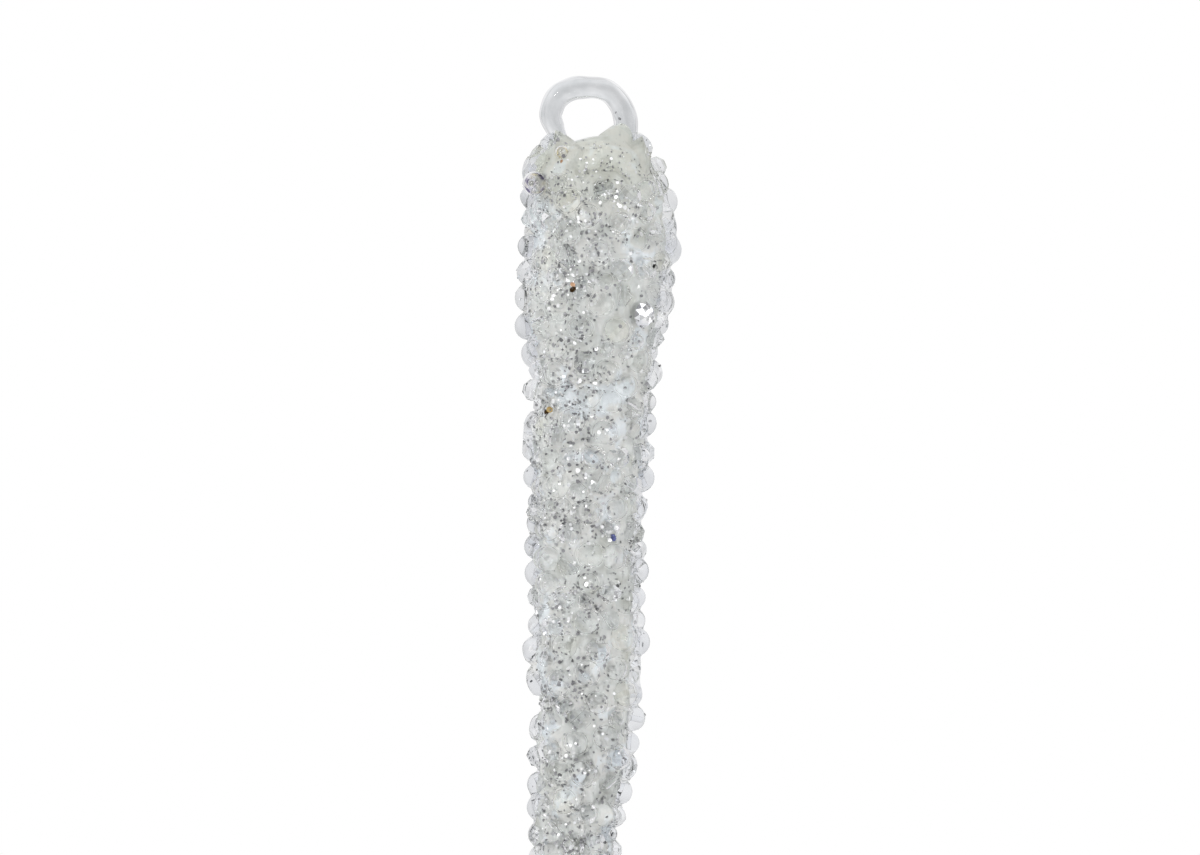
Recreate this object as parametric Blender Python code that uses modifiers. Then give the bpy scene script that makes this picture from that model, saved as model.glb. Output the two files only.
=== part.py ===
"""Beaded icicle hanging ornament.

A solid clear core hangs from a bent clear rod whose two feet are set into its crown. A glue coat covers the
core, rises in a collar round each foot, and holds a scatter of drilled crystal beads, each in its own seat.

World axes: +Z up, +X to the right and -Y towards the viewer. The origin is the hook point, which is the
underside of the loop's top bar. The icicle's own axis leans a little, because the loop sits off-centre and the
ornament hangs with its centre of mass under the hook.
"""

import math

import bmesh
import bpy
from mathutils import Matrix, Quaternion, Vector

MM = 0.001

# The icicle, measured down its own axis from the top of the glue coat's crown.
CROWN_TOP = Vector((2.1, 0.0, -6.6)) * MM
LEAN = math.radians(2.05)
BODY_LENGTH = 214.6 * MM
TIP_RADIUS = 2.0 * MM
TAPER_RADIUS = 8.8 * MM
TAPER_POWER = 1.35
DOME_DEPTH = 17.0 * MM
DOME_POWER = 2.2
TIP_ROUND = 2.4 * MM
TURN_STEPS = 24

# The layers, and the gap that neighbouring solids keep.
COAT_THICKNESS = 1.1 * MM
GAP = 0.3 * MM
CORE_LEAST_RADIUS = 0.4 * MM

# The loop's rod.
ROD_RADIUS = 1.85 * MM
ROD_SIDES_LEVEL = 4
ROD_STEPS = 4

# The crystal beads: two trade sizes, the smaller one where the icicle is slim.
BEAD_COUNT = 57
LARGE_BEAD = 4.0 * MM
SMALL_BEAD = 3.0 * MM
SLIM_COAT_RADIUS = 3.6 * MM
BEAD_HOLE_SHARE = 0.26
BEAD_SIDES = 8
HOLE_SIDES = 6
# The drill is this much longer than the bead. Every third bead is a bicone.
DRILL_LENGTH_SHARE = 1.5
BICONE_EVERY = 3
FIRST_BEAD_DEPTH = 5.5 * MM
LAST_BEAD_DEPTH = 209.0 * MM
SEAT_DEPTH_SHARE = 0.30
SEAT_GAP = 0.3 * MM
SEAT_SIDES = 6
SEAT_ROUNDING = 1.14
SEAT_FLOOR_SHARE = 0.55
SEAT_RISE = 0.5 * MM
# Each bead is this far round the icicle from the one before, and is spun this far round its own axis.
GOLDEN_TURN = math.radians(137.508)
SPIN_TURN = GOLDEN_TURN * 1.7
GOLDEN_SHARE = 0.618034

# The blobs of glue at the loop's feet: centre and radii, in world axes.
LEFT_COLLAR = (Vector((-4.7, 0.0, -8.3)) * MM, Vector((2.7, 2.6, 2.3)) * MM)
RIGHT_COLLAR = (Vector((5.1, 0.0, -7.4)) * MM, Vector((3.5, 3.0, 3.0)) * MM)
COLLAR_SEGMENTS = 16
COLLAR_RINGS = 10

MERGE = 0.00001


def clear_scene():
    for obj in list(bpy.data.objects):
        bpy.data.objects.remove(obj)


def new_collection(name):
    collection = bpy.data.collections.new(name)
    bpy.context.scene.collection.children.link(collection)
    return collection


def material(name, colour, roughness, transmission, ior=1.5, metallic=0.0):
    made = bpy.data.materials.new(name)
    made.use_nodes = True
    shader = made.node_tree.nodes["Principled BSDF"]
    shader.inputs["Base Color"].default_value = (*colour, 1.0)
    shader.inputs["Roughness"].default_value = roughness
    shader.inputs["Metallic"].default_value = metallic
    shader.inputs["Transmission Weight"].default_value = transmission
    shader.inputs["IOR"].default_value = ior
    made.diffuse_color = (*colour, 1.0)
    return made


def add_object(name, data, collection, parent=None):
    obj = bpy.data.objects.new(name, data)
    collection.objects.link(obj)
    obj.parent = parent
    return obj


def as_helper(obj):
    """Marks a cutter or a filler, which isn't a piece of the ornament."""
    obj.hide_render = True
    obj.display_type = "WIRE"
    return obj


# The icicle's outline


def coat_radius(depth):
    """Outer radius of the glue coat at a depth below the crown: a domed crown, a long taper and a round tip."""
    taper = TIP_RADIUS + TAPER_RADIUS * max(1 - depth / BODY_LENGTH, 0) ** TAPER_POWER
    above_shoulder = max(1 - depth / DOME_DEPTH, 0)
    dome = max(1 - above_shoulder**DOME_POWER, 0) ** (1 / DOME_POWER)
    past_tip = max(1 - (BODY_LENGTH - depth) / TIP_ROUND, 0)
    tip = math.sqrt(max(1 - past_tip**2, 0))
    return taper * dome * tip


def outline_depths():
    """Depths of the outline's points: close together on the crown and at the tip, and wide apart between."""
    crown = [DOME_DEPTH * (1 - math.cos(math.radians(a))) for a in (0, 12, 22, 32, 44, 58, 74, 90)]
    taper_steps = 11
    run = BODY_LENGTH - TIP_ROUND - DOME_DEPTH
    taper = [DOME_DEPTH + run * i / taper_steps for i in range(1, taper_steps + 1)]
    tip = [BODY_LENGTH - TIP_ROUND * (1 - math.sin(math.radians(a))) for a in (35, 65, 90)]
    return crown + taper + tip


def outline(inset):
    """The half outline as (radius, height) pairs from crown to tip, moved inwards by inset."""
    points = [Vector((coat_radius(d), -d)) for d in outline_depths()]
    moved = []
    for behind, point, ahead in zip(points, points[1:], points[2:]):
        along = (ahead - behind).normalized()
        inner = point + Vector((along.y, -along.x)) * inset
        if inner.x > CORE_LEAST_RADIUS and inner.y < -inset and inner.y > points[-1].y + inset:
            moved.append(inner)
    top = Vector((0.0, points[0].y - inset))
    tip = Vector((0.0, points[-1].y + inset))
    return [top, *moved, tip]


def turned(name, profile, collection, parent):
    """A solid turned round the icicle's axis from a half outline that runs down its outer side."""
    mesh = bpy.data.meshes.new(name)
    shape = bmesh.new()
    rim = [shape.verts.new((p.x, 0.0, p.y)) for p in profile]
    for upper, lower in zip(rim, rim[1:]):
        shape.edges.new((upper, lower))
    shape.to_mesh(mesh)
    shape.free()
    obj = add_object(name, mesh, collection, parent)
    screw = obj.modifiers.new("Turn", "SCREW")
    screw.axis = "Z"
    screw.angle = 2 * math.pi
    screw.steps = TURN_STEPS
    screw.render_steps = TURN_STEPS
    screw.use_merge_vertices = True
    screw.merge_threshold = MERGE
    return obj


def surface_frame(depth, turn):
    """A point on the coat's surface in the icicle's own axes, and the outward normal there."""
    step = 0.5 * MM
    slope = (coat_radius(depth + step) - coat_radius(depth - step)) / (2 * step)
    radial = Vector((math.cos(turn), math.sin(turn), 0.0))
    point = radial * coat_radius(depth) - Vector((0, 0, depth))
    normal = (radial + Vector((0, 0, slope))).normalized()
    return point, normal


# The loop


def loop_curve(name, extra_radius, collection):
    """The loop's bent rod: a round top, sides that draw in to two necks, and feet that end in the core."""
    # (x, z, share of the rod's radius), from the left foot over the top to the right foot
    stations = (
        (-3.4, -12.4, 0.80),
        (-4.9, -7.8, 0.84),
        (-6.4, -3.2, 1.00),
        (-4.8, 0.45, 1.06),
        (-0.3, 1.85, 1.00),
        (4.3, 0.35, 1.00),
        (6.1, -3.4, 1.02),
        (6.3, -7.8, 0.96),
        (5.5, -12.4, 0.85),
    )
    curve = bpy.data.curves.new(name, "CURVE")
    curve.dimensions = "3D"
    curve.resolution_u = ROD_STEPS
    curve.bevel_depth = ROD_RADIUS + extra_radius
    curve.bevel_resolution = ROD_SIDES_LEVEL
    curve.use_fill_caps = True
    spline = curve.splines.new("BEZIER")
    spline.bezier_points.add(len(stations) - 1)
    for point, (x, z, share) in zip(spline.bezier_points, stations):
        point.co = Vector((x, 0.0, z)) * MM
        point.radius = share
        point.handle_left_type = "AUTO"
        point.handle_right_type = "AUTO"
    return add_object(name, curve, collection)


def mesh_from_curve(curve_object, name, collection):
    """A closed mesh object in place of a curve object, so that it can cut."""
    bpy.context.view_layer.update()
    graph = bpy.context.evaluated_depsgraph_get()
    mesh = bpy.data.meshes.new_from_object(curve_object.evaluated_get(graph), depsgraph=graph)
    shape = bmesh.new()
    shape.from_mesh(mesh)
    bmesh.ops.remove_doubles(shape, verts=shape.verts, dist=MERGE)
    bmesh.ops.recalc_face_normals(shape, faces=shape.faces)
    shape.to_mesh(mesh)
    shape.free()
    made = add_object(name, mesh, collection)
    made.matrix_world = curve_object.matrix_world
    bpy.data.objects.remove(curve_object)
    return made


def ellipsoid(name, centre, radii, collection):
    """A smooth blob of glue, in world axes."""
    mesh = bpy.data.meshes.new(name)
    shape = bmesh.new()
    bmesh.ops.create_uvsphere(shape, u_segments=COLLAR_SEGMENTS, v_segments=COLLAR_RINGS, radius=1.0)
    bmesh.ops.transform(shape, matrix=Matrix.Diagonal((*radii, 1.0)), verts=shape.verts)
    shape.to_mesh(mesh)
    shape.free()
    obj = add_object(name, mesh, collection)
    obj.location = centre
    return obj


# The crystal beads


def crystal_mesh(name, size, rings):
    """A drilled crystal bead as a mesh. Each ring is (radius, height, half steps of turn), in shares of the bead's
    half size, and the facets are the flat faces between them."""
    half = size / 2
    shape = bmesh.new()
    for radius, height, half_steps in rings:
        for side in range(BEAD_SIDES):
            angle = (side + half_steps / 2) * 2 * math.pi / BEAD_SIDES
            place = Vector((radius * math.cos(angle), radius * math.sin(angle), height))
            shape.verts.new(place * half)
    bmesh.ops.convex_hull(shape, input=shape.verts)
    bmesh.ops.dissolve_limit(shape, angle_limit=math.radians(0.5), verts=shape.verts, edges=shape.edges)
    bmesh.ops.recalc_face_normals(shape, faces=shape.faces)
    mesh = bpy.data.meshes.new(name)
    shape.to_mesh(mesh)
    shape.free()
    return drilled(mesh, name, size)


def drilled(mesh, name, size):
    """The bead's mesh with its threading hole cut along Z."""
    bead = bpy.data.objects.new(name + "_blank", mesh)
    drill_mesh = bpy.data.meshes.new(name + "_drill")
    shape = bmesh.new()
    hole = size / 2 * BEAD_HOLE_SHARE
    length = size * DRILL_LENGTH_SHARE
    bmesh.ops.create_cone(shape, cap_ends=True, segments=HOLE_SIDES, radius1=hole, radius2=hole, depth=length)
    shape.to_mesh(drill_mesh)
    shape.free()
    drill = as_helper(bpy.data.objects.new(name + "_drill", drill_mesh))
    for obj in (bead, drill):
        bpy.context.scene.collection.objects.link(obj)
    cut = bead.modifiers.new("Hole", "BOOLEAN")
    cut.operation = "DIFFERENCE"
    cut.object = drill
    bpy.context.view_layer.update()
    graph = bpy.context.evaluated_depsgraph_get()
    made = bpy.data.meshes.new_from_object(bead.evaluated_get(graph), depsgraph=graph)
    made.name = name
    bpy.data.objects.remove(bead)
    bpy.data.objects.remove(drill)
    return made


def crystal_meshes():
    """The two cuts of crystal in the two sizes: a faceted round and a bicone."""
    cuts = {
        "round": ((0.48, 0.84, 1), (0.93, 0.34, 0), (0.93, -0.34, 0), (0.48, -0.84, 1)),
        "bicone": ((0.42, 0.86, 0), (0.98, 0.0, 0), (0.42, -0.86, 0)),
    }
    return {
        (cut, size): crystal_mesh(f"{cut}_crystal", size, rings)
        for cut, rings in cuts.items()
        for size in (LARGE_BEAD, SMALL_BEAD)
    }


def bead_depths():
    """Depths at which the beads sit, each with the same share of the coat's area."""
    steps = 2000
    rounding = 1e-6
    run = LAST_BEAD_DEPTH - FIRST_BEAD_DEPTH
    depths = [FIRST_BEAD_DEPTH + run * i / steps for i in range(steps + 1)]
    areas = [0.0]
    for depth in depths[1:]:
        areas.append(areas[-1] + coat_radius(depth))
    wanted = [areas[-1] * i / (BEAD_COUNT - 1) for i in range(BEAD_COUNT)]
    found = []
    for share in wanted:
        index = next(i for i, area in enumerate(areas) if area >= share * (1 - rounding))
        found.append(depths[index])
    return found


def bead_turn(number, normal):
    """How a bead lies: mostly on its side in the glue, with its hole pointing a new way each time."""
    upright = normal.to_track_quat("Z", "Y")
    lie = Quaternion((1, 0, 0), math.radians(90) * (1 - (number * GOLDEN_SHARE % 1) ** 3))
    spin = Quaternion((0, 0, 1), number * SPIN_TURN)
    return upright @ spin @ lie


def add_beads(collection, seats, axis, glass):
    meshes = crystal_meshes()
    pockets = seat_meshes()
    for number, depth in enumerate(bead_depths()):
        point, normal = surface_frame(depth, number * GOLDEN_TURN)
        size = LARGE_BEAD if coat_radius(depth) > SLIM_COAT_RADIUS else SMALL_BEAD
        cut = "bicone" if number % BICONE_EVERY == 1 else "round"
        half = size / 2
        centre = point + normal * half * (1 - SEAT_DEPTH_SHARE)
        bead = add_object(f"crystal_bead_{number + 1:02d}", meshes[cut, size], collection, axis)
        bead.location = centre
        bead.rotation_mode = "QUATERNION"
        bead.rotation_quaternion = bead_turn(number, normal)
        if not bead.data.materials:
            bead.data.materials.append(glass)
        seat = as_helper(add_object(f"seat_{number + 1:02d}", pockets[size], seats, axis))
        seat.location = point
        seat.rotation_mode = "QUATERNION"
        seat.rotation_quaternion = normal.to_track_quat("Z", "Y")


def seat_meshes():
    """The funnel-shaped pocket that a bead sits in, for each size. Its origin is on the coat's surface."""
    meshes = {}
    for size in (LARGE_BEAD, SMALL_BEAD):
        half = size / 2
        floor = half * SEAT_DEPTH_SHARE + SEAT_GAP
        rim_radius = SEAT_ROUNDING * math.sqrt((half + SEAT_GAP) ** 2 - (half * (1 - SEAT_DEPTH_SHARE)) ** 2)
        floor_radius = rim_radius * SEAT_FLOOR_SHARE
        top_radius = rim_radius + (rim_radius - floor_radius) * SEAT_RISE / floor
        mesh = bpy.data.meshes.new(f"seat_{size / MM:.0f}mm")
        shape = bmesh.new()
        bmesh.ops.create_cone(
            shape,
            cap_ends=True,
            segments=SEAT_SIDES,
            radius1=floor_radius,
            radius2=top_radius,
            depth=floor + SEAT_RISE,
            matrix=Matrix.Translation((0, 0, (SEAT_RISE - floor) / 2)),
        )
        shape.to_mesh(mesh)
        shape.free()
        meshes[size] = mesh
    return meshes


# The pieces


def boolean(obj, name, operation, other):
    """A Boolean modifier that takes either an object or a whole collection."""
    modifier = obj.modifiers.new(name, "BOOLEAN")
    modifier.operation = operation
    if isinstance(other, bpy.types.Collection):
        modifier.operand_type = "COLLECTION"
        modifier.collection = other
    else:
        modifier.object = other


def build():
    clear_scene()
    pieces = new_collection("icicle_ornament")
    cutters = new_collection("cutters")
    seats = new_collection("bead_seats")
    collars = new_collection("glue_collars")

    axis = add_object("icicle_axis", None, pieces)
    axis.location = CROWN_TOP
    axis.rotation_euler = (0.0, LEAN, 0.0)

    clear_plastic = material("clear_core", (0.86, 0.88, 0.86), 0.08, 0.9, 1.49)
    glue = material("glitter_glue", (0.80, 0.81, 0.78), 0.30, 0.4, 1.48)
    rod_glass = material("clear_rod", (0.92, 0.94, 0.95), 0.04, 0.95)
    crystal = material("crystal_glass", (0.93, 0.95, 0.96), 0.02, 1.0, 1.54)

    loop = loop_curve("hanging_loop", 0.0, pieces)
    loop.data.materials.append(rod_glass)
    sockets = as_helper(mesh_from_curve(loop_curve("loop_guide", GAP, cutters), "loop_sockets", cutters))

    core = turned("icicle_core", outline(COAT_THICKNESS + GAP), pieces, axis)
    core.data.materials.append(clear_plastic)
    boolean(core, "Loop sockets", "DIFFERENCE", sockets)

    room = as_helper(turned("core_room", outline(COAT_THICKNESS), cutters, axis))
    as_helper(ellipsoid("left_collar", *LEFT_COLLAR, collars))
    as_helper(ellipsoid("right_collar", *RIGHT_COLLAR, collars))

    coat = turned("glue_coat", outline(0.0), pieces, axis)
    coat.data.materials.append(glue)
    add_beads(pieces, seats, axis, crystal)
    boolean(coat, "Collars", "UNION", collars)
    boolean(coat, "Room for the core", "DIFFERENCE", room)
    boolean(coat, "Bead seats", "DIFFERENCE", seats)
    boolean(coat, "Room for the loop", "DIFFERENCE", sockets)
    bpy.context.view_layer.update()


build()
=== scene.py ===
"""Looks of the beaded icicle ornament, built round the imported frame.

Metres, +Z up, +X to the right and -Y towards the viewer. The origin is the underside of the loop's top bar.
Beads and flakes are placed by a depth below the crown and a turn round the icicle's own leaning axis. The
few that stand out are given by x and z instead, where the viewer sees them.
"""

import math
import random
from collections import namedtuple

import bpy
import numpy as np
from mathutils import Matrix, Quaternion, Vector, noise


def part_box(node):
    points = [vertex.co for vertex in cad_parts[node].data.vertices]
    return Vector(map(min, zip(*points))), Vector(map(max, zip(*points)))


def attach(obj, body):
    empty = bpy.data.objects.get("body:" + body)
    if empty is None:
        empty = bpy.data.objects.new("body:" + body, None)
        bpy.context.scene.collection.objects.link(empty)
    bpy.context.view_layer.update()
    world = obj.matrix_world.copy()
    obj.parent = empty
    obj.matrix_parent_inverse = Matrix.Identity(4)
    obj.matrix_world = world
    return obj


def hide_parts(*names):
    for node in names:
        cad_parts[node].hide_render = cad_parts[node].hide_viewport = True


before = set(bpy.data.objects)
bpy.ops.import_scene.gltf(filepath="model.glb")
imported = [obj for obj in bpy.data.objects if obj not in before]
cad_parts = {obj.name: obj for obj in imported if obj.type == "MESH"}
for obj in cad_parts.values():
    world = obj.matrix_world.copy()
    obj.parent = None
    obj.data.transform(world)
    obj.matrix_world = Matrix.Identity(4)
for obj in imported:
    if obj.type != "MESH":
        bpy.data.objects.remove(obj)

MM = 0.001
SEED = 11
random.seed(SEED)

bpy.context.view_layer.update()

# The icicle's outline, as in the CAD: a domed crown, a long taper and a round tip.
CROWN_TOP = Vector((2.1, 0.0, -6.6)) * MM
LEAN = math.radians(2.05)
BODY_LENGTH = 214.6 * MM
TIP_RADIUS = 2.0 * MM
TAPER_RADIUS = 8.8 * MM
TAPER_POWER = 1.35
DOME_DEPTH = 17.0 * MM
DOME_POWER = 2.2
TIP_ROUND = 2.4 * MM

# The swells fade out above this depth, so that the crown stays round.
DOME_START = 3.5 * MM
# The coat is this much thinner down its two sides, where the rows of beads sit in it, than in front.
SIDE_THINNING = 0.5 * MM
# Where the glue is thicker or thinner than the CAD's even coat: which side, depth, height and half length.
# Sides are +1 for the right and -1 for the left.
SWELLS = (
    (-1, 4.5 * MM, 2.4 * MM, 2.6 * MM),
    (1, 22 * MM, 1.4 * MM, 6.5 * MM),
    (1, 45 * MM, -0.5 * MM, 4 * MM),
    (1, 95 * MM, 1.7 * MM, 12 * MM),
    (-1, 27 * MM, 0.9 * MM, 5 * MM),
    (-1, 44.5 * MM, -1.7 * MM, 3.0 * MM),
    (-1, 50 * MM, 0.9 * MM, 2.2 * MM),
    (-1, 90.6 * MM, 0.9 * MM, 2.2 * MM),
    (1, 106 * MM, 0.6 * MM, 3 * MM),
    (-1, 96 * MM, -1.8 * MM, 3 * MM),
    (1, 116 * MM, -0.9 * MM, 3 * MM),
)

# Loose beads, in the order they are packed: diameter and how many tries.
BEAD_SIZES = ((4.1 * MM, 6000), (3.5 * MM, 5000), (2.8 * MM, 4000))
SIZE_SPREAD = (0.93, 1.07)
CUT_SHARE = 0.26
# Where the coat's radius is less than the first of these, loose beads are no larger than the second.
SLIM_COAT_RADIUS = 3.6 * MM
LARGEST_SLIM_BEAD = 3.6 * MM
# Share of a bead's size that is in the glue, for the loose beads and for the two rows down the sides.
BEAD_SINK = 0.34
ROW_SINKS = (0.12, 0.34)
# Distance between neighbours, in bead diameters.
BEAD_SPACING = 0.96
ROW_SPACING = 0.86
# The two rows: the side they run down and the depth of the first bead, then what they share.
ROW_STARTS = ((0, 2.4 * MM), (math.pi, 6.5 * MM))
ROW_DIAMETERS = (3.5 * MM, 4.7 * MM)
ROW_SLIM_SHRINK = 0.75
ROW_WANDER = 0.20
ROW_PITCHES = (0.98, 1.10)
ROW_END = 4 * MM
# The two sizes of the CAD's crystals, and the box side that tells them apart.
SMALL_CRYSTAL = 3.0 * MM
LARGE_CRYSTAL = 4.0 * MM
CRYSTAL_SPLIT = 3.2 * MM
# The crown is bare of loose beads down to this depth at the sides, and this much further down in front and
# behind.
BARE_CROWN_AT_SIDES = 3.5 * MM
BARE_CROWN_EXTRA = 9.0 * MM
# No bead is in front of a rainbow bead or a foil-backed stone with its middle nearer than this share of
# their two diameters.
HIDING_DISTANCE = 0.46

# Single beads that stand out, facing the viewer: x and z, diameter, share in the glue and kind. A share
# below zero lifts a bead off the coat, into the clear glue over it.
NAMED_BEADS = (
    (-9.0 * MM, -14.7 * MM, 4.3 * MM, -0.25, "aurora"),
    (9.3 * MM, -36.8 * MM, 4.6 * MM, 0.10, "star"),
    (-6.7 * MM, -9.1 * MM, 3.9 * MM, 0.34, "clear"),
    (-4.6 * MM, -10.2 * MM, 2.3 * MM, 0.30, "aurora"),
)

# The meshes of the coat and the skin have extra rings where they close: on the crown, down to a depth, and
# round the tip.
CROWN_RINGS = 17
CROWN_RING_DEPTH = 0.12 * DOME_DEPTH
TIP_RINGS = 14

# The glue coat: its mesh, and its own lumps as size across, height and shift in the noise.
COAT_RINGS = 400
COAT_SEGMENTS = 120
COAT_LUMPS = ((5.0 * MM, 0.22 * MM, (0, 0, 0)), (1.6 * MM, 0.10 * MM, (7, 0, 0)))
# Where it climbs the loop's two feet and dips between them: x, spread and height. Nothing below the end
# height moves.
FOOT_COLLARS = (
    (-4.2 * MM, 1.45 * MM, 3.8 * MM),
    (5.0 * MM, 1.75 * MM, 3.0 * MM),
    (-1.3 * MM, 1.7 * MM, -1.35 * MM),
)
COLLARS_END = -16 * MM
# Its climb up a bead: the share of the bare height that it reaches, how fast it falls away outside, how far
# it laps over the bead, how deep it may lie under one, and the share of the wetted width where it does.
GLUE_CLIMB = 0.62
GLUE_FALL = 0.42 * MM
GLUE_OVERLAP = 0.10 * MM
GLUE_DIP = -0.6 * MM
GLUE_UNDER_BEAD = 0.8
# How far round a bead it is shaped: past the bead's radius up and down and across, inward in radii, and how
# nearly the coat has to face the same way.
GLUE_REACH_DOWN = 3 * GLUE_FALL
GLUE_REACH_ACROSS = 4 * GLUE_FALL
GLUE_REACH_INWARD = 1.6
GLUE_FACING = 0.6

# The clear glue over it, which fills the gaps between the beads: its mesh, its mean thickness, how much more
# it is at the sides, the least it is, its lumps, how far from either end it thins out, and the share of it
# that is left at the crown and at the tip.
SKIN_RINGS = 440
SKIN_SEGMENTS = 132
SKIN_THICKNESS = 1.2 * MM
SKIN_EXTRA_AT_SIDES = 1.1 * MM
SKIN_LEAST = 0.4 * MM
SKIN_LUMPS = ((8.0 * MM, 1.6 * MM, (2, 5, 1)), (2.6 * MM, 0.45 * MM, (4, 0, 9)))
SKIN_FADE = 12 * MM
SKIN_AT_CROWN = 0.05
SKIN_AT_TIP = 0.12
# The skin's film over a bead, how widely it rounds off the crease beside one, how steeply it falls outside
# the bead, how far down and across it is shaped in bead radii, and how nearly it has to face the same way.
SKIN_FILM = 0.10 * MM
SKIN_CREASE = 0.28 * MM
SKIN_FALL = 3
SKIN_REACH_DOWN = 1.6
SKIN_REACH_ACROSS = 1.5
SKIN_FACING = 0.5

# The loop: x, z and rod radius, in millimetres, from the left foot over the top to the right foot.
LOOP_STATIONS = (
    (-3.4, -12.4, 1.45),
    (-4.2, -9.0, 1.35),
    (-4.9, -6.7, 1.32),
    (-5.8, -4.9, 1.72),
    (-6.4, -2.6, 1.95),
    (-5.3, 0.1, 2.05),
    (-2.7, 1.55, 2.00),
    (0.2, 1.80, 1.88),
    (3.2, 1.25, 1.85),
    (5.2, -0.8, 1.95),
    (6.2, -3.4, 2.05),
    (6.3, -6.4, 2.00),
    (5.9, -9.4, 1.80),
    (5.5, -12.4, 1.60),
)
LOOP_STEPS = 16
LOOP_SIDES = 64
# The rod's lumps: height as a share of its radius, and size across.
LOOP_LUMP = 0.08
LOOP_LUMP_SIZE = 2.5 * MM

# The glitter: a flake's size, how far it stands off the glue, how much it leans (less where it stands out),
# how far it spins, the narrowest it gets, and how many there are.
FLAKE_RADIUS = 0.31 * MM
FLAKE_THICKNESS = 0.05 * MM
FLAKE_STAND_OFF = 0.05 * MM
FLAKE_LEAN = 0.45
NAMED_FLAKE_LEAN = 0.1
FLAKE_SPIN = 6.3
FLAKE_NARROWEST = 0.65
FLAKE_COUNT = 9000
# Share of the tries that lay a flake on top, on the clear glue or on a bead. The rest lay it on the coat.
FLAKES_ON_TOP = 0.60
# Sizes, as shares of FLAKE_RADIUS: the least, the spread of most and of the bright ones, and the power that
# makes large ones rarer. At the crown all are smaller, by a share that grows to 1 further down.
FLAKE_LEAST = 0.45
FLAKE_SPREAD = 0.9
BRIGHT_SPREAD = 1.1
FLAKE_SIZE_POWER = 1.3
CROWN_FLAKE_SIZE = 0.55
CROWN_FLAKE_FADE = 40 * MM
# The chance that a flake stays: everywhere, more or less in patches (size across, height and shift in the
# noise), and more in the drifts.
FLAKE_CHANCE = 0.13
FLAKE_PATCHES = ((7.0 * MM, 0.38, (0, 0, 0)), (2.5 * MM, 0.19, (0, 0, 0)))
DRIFT_CHANCE = 1.15
# The two sides are nearly bare of flakes on top, and have more of them down in the coat.
BARE_SIDES_ON_TOP = 0.92
EXTRA_SIDES_IN_COAT = 0.36
# The rays that lay the flakes start this far outside the coat, or in front of the whole for the flakes that
# stand out, and end after this length.
FLAKE_RAY_START = 5.0 * MM
NAMED_RAY_START = 30 * MM
RAY_LENGTH = 60 * MM
# The colour and roughness of each kind, and the shares of those that are strewn. The dark and the bright
# kinds are one silver glitter, darkened as painted shade and lightened as painted glints for flakes that
# mirror dark or bright surroundings; as metal, all of them still reflect the rooms.
FLAKE_LOOKS = {
    "glitter_silver": ((0.74, 0.75, 0.76), 0.35),
    # The next two are copies of the silver glitter: a darker one, painted shade, and a lighter one, painted
    # glints.
    "glitter_dark": ((0.35, 0.35, 0.36), 0.40),
    "glitter_bright": ((0.98, 0.98, 0.98), 0.30),
    "glitter_amber": ((0.60, 0.36, 0.22), 0.3),
    "glitter_gold": ((0.64, 0.46, 0.20), 0.3),
    "glitter_brown": ((0.05, 0.03, 0.012), 0.3),
    "glitter_blue": ((0.14, 0.16, 0.36), 0.3),
}
FLAKE_SHARES = {"glitter_silver": 0.16, "glitter_dark": 0.44, "glitter_bright": 0.40}
# Thick drifts of flakes on the front, repeated on the back: x and z of the middle, and radius.
DRIFTS = (
    (-1.0 * MM, -17.5 * MM, 5.0 * MM),
    (-1.4 * MM, -26.7 * MM, 4.5 * MM),
    (-2.6 * MM, -33.5 * MM, 3.0 * MM),
    (-1.4 * MM, -46.4 * MM, 4.0 * MM),
    (-1.8 * MM, -56.4 * MM, 3.5 * MM),
    (-2.6 * MM, -69.7 * MM, 4.0 * MM),
    (-1.4 * MM, -85.7 * MM, 3.5 * MM),
    (-2.0 * MM, -99.3 * MM, 3.5 * MM),
    (-1.4 * MM, -115.3 * MM, 4.5 * MM),
    (-2.6 * MM, -125.3 * MM, 5.0 * MM),
    (-0.8 * MM, -141.0 * MM, 4.0 * MM),
    (0.5 * MM, -160.0 * MM, 4.5 * MM),
)
# Single flakes that stand out, facing the viewer: x and z, size as a share of FLAKE_RADIUS, and kind.
NAMED_FLAKES = (
    (-2.6 * MM, -33.0 * MM, 2.0, "glitter_brown"),
    (-2.6 * MM, -32.2 * MM, 1.5, "glitter_amber"),
    (-7.0 * MM, -53.4 * MM, 1.6, "glitter_brown"),
    (-6.5 * MM, -53.0 * MM, 2.0, "glitter_gold"),
    (-4.5 * MM, -11.3 * MM, 1.1, "glitter_amber"),
    (-4.2 * MM, -10.4 * MM, 1.3, "glitter_dark"),
    (5.3 * MM, -3.7 * MM, 1.1, "glitter_dark"),
    (4.6 * MM, -2.6 * MM, 0.8, "glitter_dark"),
    (4.2 * MM, -74.6 * MM, 1.8, "glitter_blue"),
    (3.6 * MM, -74.9 * MM, 1.4, "glitter_bright"),
    (-5.2 * MM, -7.3 * MM, 1.5, "glitter_dark"),
    (-5.7 * MM, -7.8 * MM, 1.0, "glitter_dark"),
    (-3.8 * MM, -8.0 * MM, 1.2, "glitter_dark"),
)

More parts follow.
